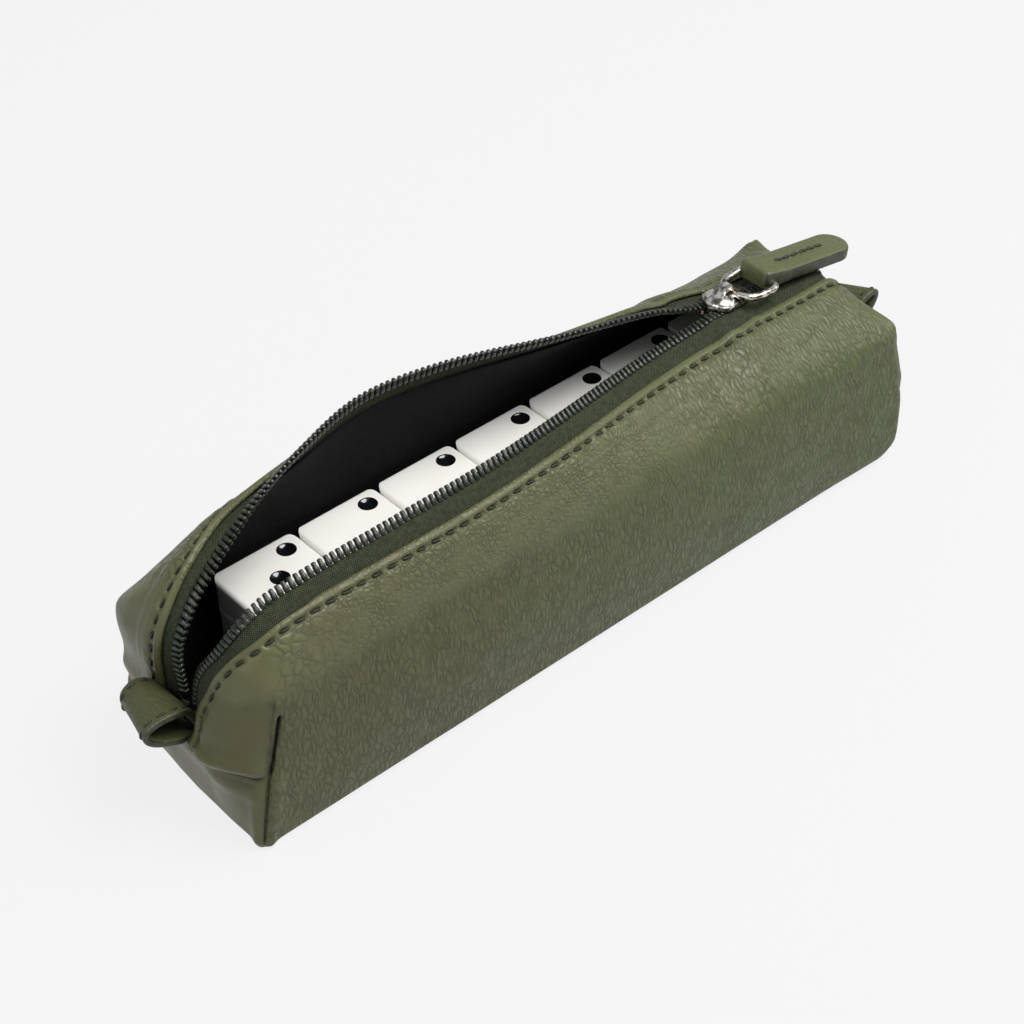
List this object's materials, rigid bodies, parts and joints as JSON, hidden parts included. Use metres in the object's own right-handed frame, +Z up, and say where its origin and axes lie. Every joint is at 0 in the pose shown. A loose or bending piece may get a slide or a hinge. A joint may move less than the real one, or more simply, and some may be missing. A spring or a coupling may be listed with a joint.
{
  "type": "domino storage case",
  "caption": "Slim box-shaped leather zip case lying open, holding a row of stacked dominoes, with a slider and pull tab on a ring and a short strap loop at each end.",
  "frame": {"origin": "middle of the flat bottom of the case, on the surface it stands on", "axes": "+X along the case towards the slider's end, +Y to the back lip, +Z up"},
  "size_m": [0.2339, 0.0566, 0.0682],
  "materials": {
    "leather": "pebbled",
    "lining": "matt woven",
    "tape": "matt woven",
    "teeth": "satin",
    "stops": "satin",
    "nickel": "polished",
    "domino": "glossy"
  },
  "bodies": {
    "case": {"leather_body": "leather", "lining": "lining", "tape_front": "tape", "tape_back": "tape", "teeth_front": "teeth", "teeth_back": "teeth", "teeth_closed": "teeth", "top_stops": "stops", "bottom_stop": "stops", "loop_near": "leather", "loop_far": "leather", "domino_0_0": "domino", "domino_0_1": "domino", "domino_0_3": "domino", "domino_0_4": "domino", "domino_0_5": "domino", "domino_0_6": "domino", "domino_1_2": "domino", "domino_1_4": "domino", "domino_1_5": "domino", "domino_1_6": "domino", "domino_2_3": "domino", "domino_3_3": "domino", "domino_3_4": "domino", "domino_3_5": "domino", "domino_3_6": "domino", "domino_4_4": "domino", "domino_4_5": "domino", "domino_4_6": "domino", "domino_5_5": "domino", "domino_5_6": "domino", "domino_6_6": "domino"},
    "slider": {"slider_body": "nickel"},
    "ring": {"pull_ring": "nickel"},
    "tab": {"pull_tab": "leather"},
    "domino_1_3_body": {"domino_1_3": "domino"},
    "domino_0_2_body": {"domino_0_2": "domino"},
    "domino_2_4_body": {"domino_2_4": "domino"},
    "domino_2_2_body": {"domino_2_2": "domino"},
    "domino_2_6_body": {"domino_2_6": "domino"},
    "domino_2_5_body": {"domino_2_5": "domino"},
    "domino_1_1_body": {"domino_1_1": "domino"}
  },
  "joints": [
    {"name": "slider_travel", "type": "slide", "parent": "case", "child": "slider", "axis": [0.9945, 0, -0.1045], "range_m": [0, 0.014], "deforming": ["teeth_closed"]},
    {"name": "ring_hinge", "type": "hinge", "parent": "slider", "child": "ring", "pos_m": [0.06756, 0.0008, 0.05631], "axis": [0, 1, 0], "range_deg": [-120, 0]},
    {"name": "tab_hinge", "type": "hinge", "parent": "ring", "child": "tab", "pos_m": [0.07756, 0.0008, 0.05631], "axis": [0, 1, 0], "range_deg": [-60, 0]},
    {"name": "domino_1_3_lift", "type": "slide", "parent": "case", "child": "domino_1_3_body", "axis": [0, 0, 1], "range_m": [0, 0.005]},
    {"name": "domino_0_2_lift", "type": "slide", "parent": "case", "child": "domino_0_2_body", "axis": [0, 0, 1], "range_m": [0, 0.005]},
    {"name": "domino_2_4_lift", "type": "slide", "parent": "case", "child": "domino_2_4_body", "axis": [0, 0, 1], "range_m": [0, 0.005]},
    {"name": "domino_2_2_lift", "type": "slide", "parent": "case", "child": "domino_2_2_body", "axis": [0, 0, 1], "range_m": [0, 0.005]},
    {"name": "domino_2_6_lift", "type": "slide", "parent": "case", "child": "domino_2_6_body", "axis": [0, 0, 1], "range_m": [0, 0.005]},
    {"name": "domino_2_5_lift", "type": "slide", "parent": "case", "child": "domino_2_5_body", "axis": [0, 0, 1], "range_m": [0, 0.005]},
    {"name": "domino_1_1_lift", "type": "slide", "parent": "case", "child": "domino_1_1_body", "axis": [0, 0, 1], "range_m": [0, 0.005]}
  ]
}
